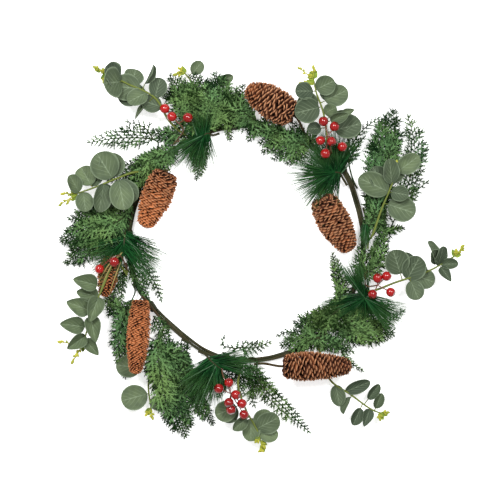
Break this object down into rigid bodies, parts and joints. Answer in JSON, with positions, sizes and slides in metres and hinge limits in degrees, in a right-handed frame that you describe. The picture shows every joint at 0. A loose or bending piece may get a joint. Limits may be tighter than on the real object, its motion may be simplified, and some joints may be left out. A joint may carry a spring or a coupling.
{
  "type": "eucalyptus wreath",
  "caption": "Round door wreath of eucalyptus, cedar and pine sprays with red berries and cones, bound one by one to a taped ring.",
  "frame": {"origin": "middle of the wreath's bounding box, on the surface that it lies on", "axes": "+Z out of the wreath's face, +Y towards its top as it hangs, +X to the right in front view"},
  "size_m": [0.5904, 0.57, 0.0747],
  "materials": {
    "tape": "matt waxed floral tape, brown-green, over twisted stems",
    "cedar": "matt mid green",
    "pine": "satin deep green",
    "eucalyptus": "matt grey-green with paler veins and rims",
    "cone": "matt orange-brown, darker between the scales",
    "berry": "glossy red"
  },
  "bodies": {
    "root": {"ring": "tape", "cone_top": "cone", "cone_upper_left": "cone", "cone_right": "cone", "cone_lower_left": "cone", "cone_bottom": "cone", "cone_left": "cone", "eucalyptus_lower_left": "eucalyptus", "eucalyptus_top": "eucalyptus", "eucalyptus_bottom_right": "eucalyptus", "berries_upper_left": "berry", "berries_upper_right": "berry", "berries_left": "berry", "berries_right": "berry", "berries_bottom": "berry", "eucalyptus_bottom": "eucalyptus", "eucalyptus_upper_left": "eucalyptus", "eucalyptus_left": "eucalyptus", "eucalyptus_upper_right": "eucalyptus", "eucalyptus_right_upper": "eucalyptus", "eucalyptus_lower_left_side": "eucalyptus", "eucalyptus_right": "eucalyptus", "pine_upper_left": "pine", "pine_left": "pine", "pine_upper_right": "pine", "pine_right": "pine", "pine_bottom": "pine", "pine_right_ring": "pine", "cedar_upper_left": "cedar", "cedar_upper_left_b": "cedar", "cedar_over_cone": "cedar", "cedar_inner_top_left": "cedar", "cedar_top_a": "cedar", "cedar_top_b": "cedar", "cedar_top_c": "cedar", "cedar_top_d": "cedar", "cedar_top_e": "cedar", "cedar_top_f": "cedar", "cedar_upper_right": "cedar", "cedar_right_a": "cedar", "cedar_right_b": "cedar", "cedar_right_c": "cedar", "cedar_right_inner": "cedar", "cedar_lower_right_a": "cedar", "cedar_lower_right_e": "cedar", "cedar_lower_right_b": "cedar", "cedar_lower_right_c": "cedar", "cedar_lower_right_d": "cedar", "cedar_bottom": "cedar", "cedar_bottom_right": "cedar", "cedar_lower_left_a": "cedar", "cedar_lower_left_b": "cedar", "cedar_left_low": "cedar", "cedar_left_inner": "cedar", "cedar_left_a": "cedar", "cedar_left_b": "cedar"}
  },
  "joints": []
}
